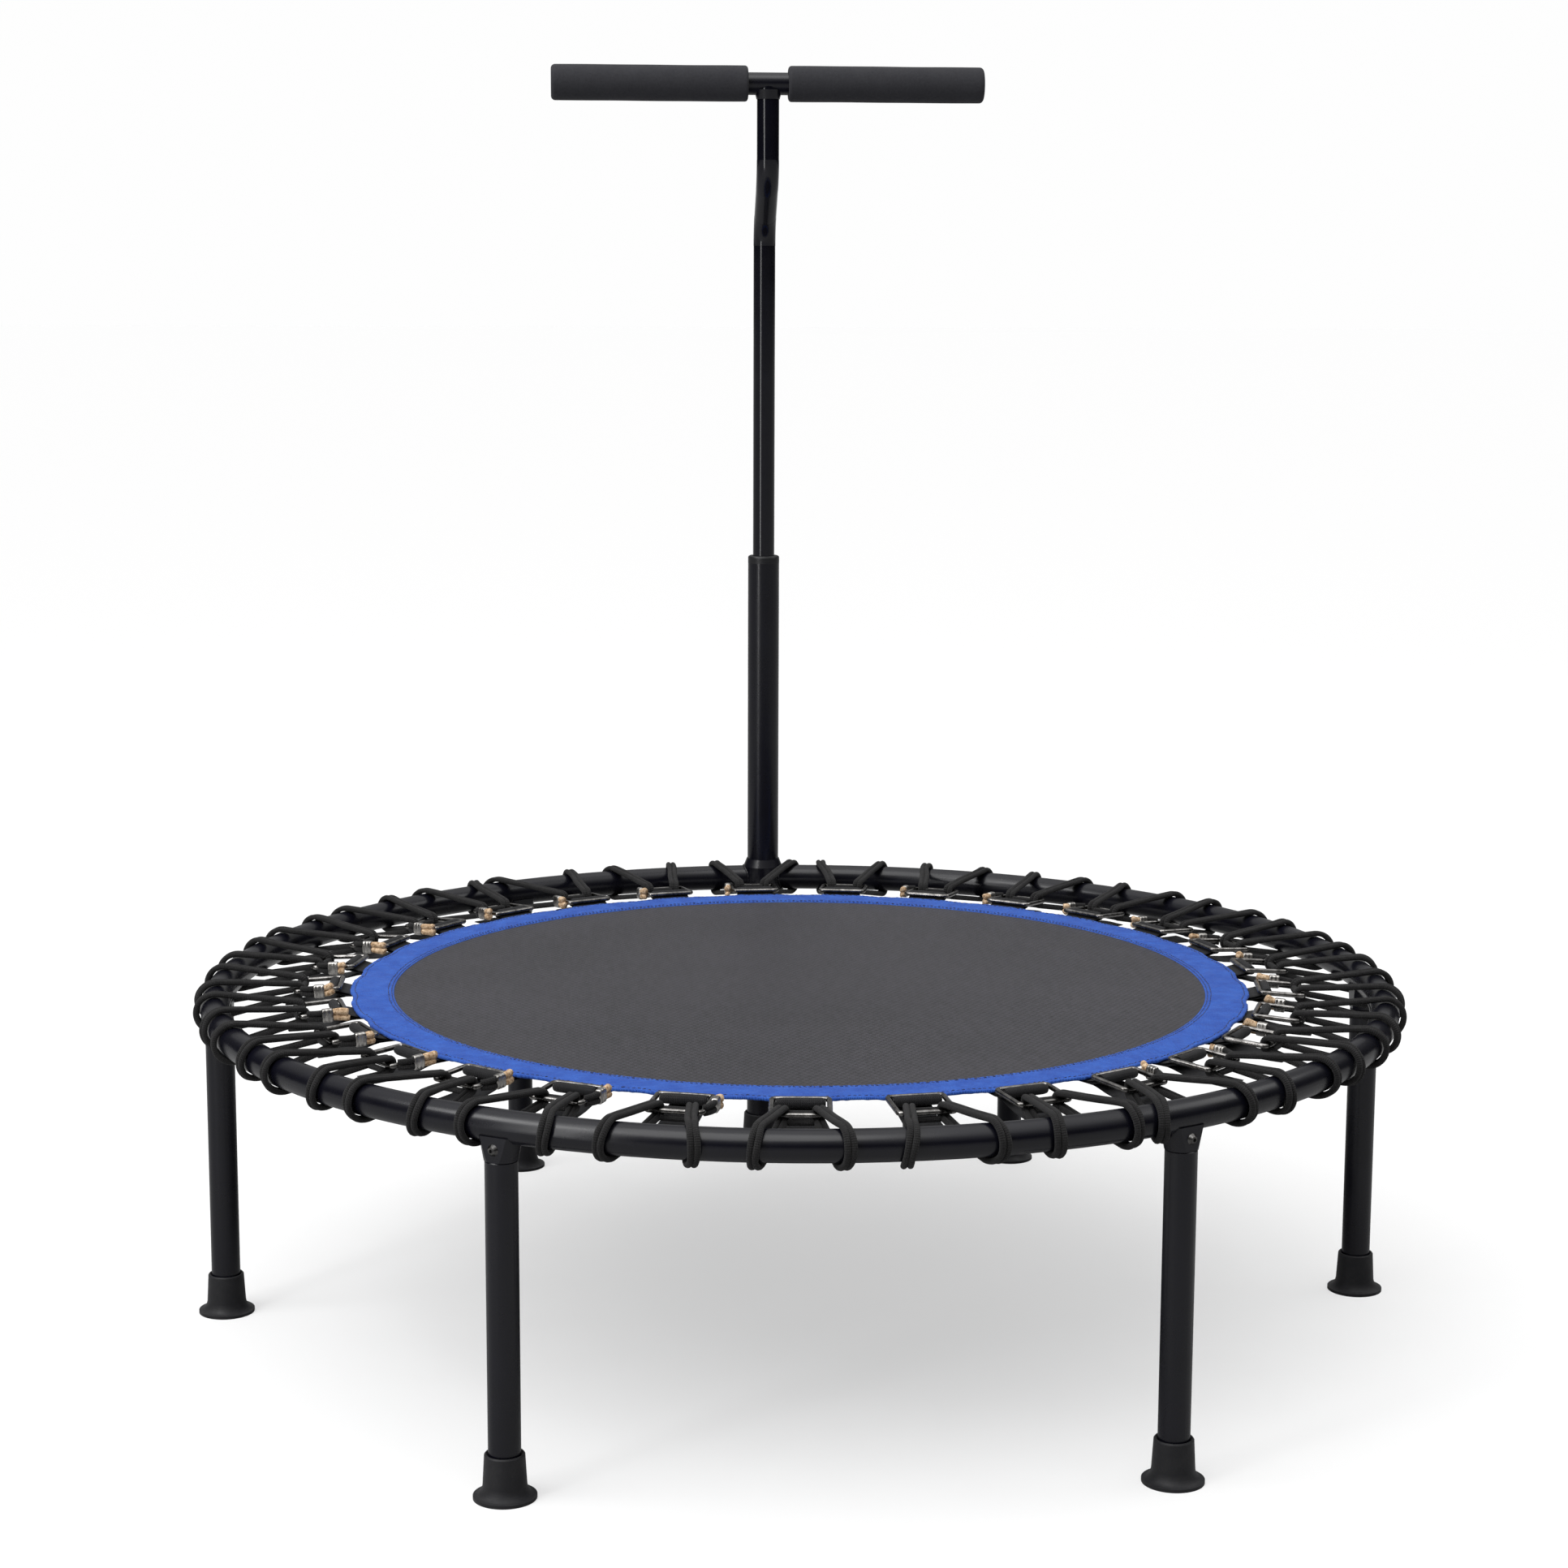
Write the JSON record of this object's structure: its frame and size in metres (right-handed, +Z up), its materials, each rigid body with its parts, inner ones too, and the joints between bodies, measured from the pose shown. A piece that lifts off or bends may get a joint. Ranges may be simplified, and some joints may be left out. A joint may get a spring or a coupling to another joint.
{
  "type": "mini trampoline",
  "caption": "round bungee-suspended mini trampoline: tubular ring on screw-in legs with rubber feet, bordered mat, and a height-adjustable T handle with foam grips",
  "frame": {"origin": "on the floor under the centre of the ring", "axes": "+Z up, +Y from the ring's centre towards the handle post, +X to the right of someone who stands on the mat and holds the handle"},
  "size_m": [1.0636, 1.0616, 1.1125],
  "materials": {
    "frame_paint": "satin black powder coat on steel tube",
    "zinc_steel": "zinc plated",
    "screw_steel": "dark plated screw",
    "rubber": "matte moulded rubber",
    "black_plastic": "moulded plastic",
    "foam": "closed-cell foam, matte",
    "mat_weave": "tight plain weave of flat polypropylene yarn",
    "blue_border": "woven polyester hem, slight sheen",
    "navy_thread": "twisted sewing thread",
    "webbing": "flat polyester webbing",
    "link_wire": "dark nickel plated wire",
    "crimp": "bright pressed ferrule",
    "bungee": "braided sheath over rubber strands",
    "cord_core": "cut ends of the rubber strands"
  },
  "bodies": {
    "frame": {"frame_ring": "frame_paint", "leg_saddles": "frame_paint", "leg_studs": "zinc_steel", "lock_screws": "screw_steel", "leg_inserts": "zinc_steel", "leg_1": "frame_paint", "leg_2": "frame_paint", "leg_3": "frame_paint", "leg_4": "frame_paint", "leg_5": "frame_paint", "leg_6": "frame_paint", "foot_1": "rubber", "foot_2": "rubber", "foot_3": "rubber", "foot_4": "rubber", "foot_5": "rubber", "foot_6": "rubber", "post_sleeve": "frame_paint", "sleeve_screw": "screw_steel", "post_tube": "frame_paint", "post_foot": "rubber", "post_bushing": "black_plastic", "cords_1": "bungee", "cords_2": "bungee", "cords_3": "bungee", "cords_4": "bungee", "cords_5": "bungee", "cords_6": "bungee"},
    "mat": {"mat_fabric": "mat_weave", "mat_border": "blue_border", "hem_stitching": "navy_thread", "tabs": "webbing", "tab_rods": "black_plastic", "links": "link_wire", "cord_crimps": "crimp", "cord_ends": "cord_core"},
    "handle": {"upright_tube": "frame_paint", "cross_bar": "frame_paint", "bar_weld": "frame_paint", "bar_plugs": "black_plastic", "grip_left": "foam", "grip_right": "foam", "upright_plug": "black_plastic", "button_spring": "zinc_steel"},
    "button": {"snap_button": "zinc_steel"}
  },
  "joints": [
    {"name": "mat_bounce", "type": "slide", "parent": "frame", "child": "mat", "axis": [0, 0, 1], "range_m": [-0.12, 0.01], "stiffness_N_per_m": 9000, "springref_m": 0.002, "deforming": ["cords_1", "cords_2", "cords_3", "cords_4", "cords_5", "cords_6"]},
    {"name": "handle_height", "type": "slide", "parent": "frame", "child": "handle", "axis": [0, 0, 1], "range_m": [-0.12, 0.06]},
    {"name": "button_press", "type": "slide", "parent": "handle", "child": "button", "axis": [0, 1, 0], "range_m": [-0.005, 0], "stiffness_N_per_m": 1500, "springref_m": 0.002, "deforming": ["button_spring"]}
  ]
}
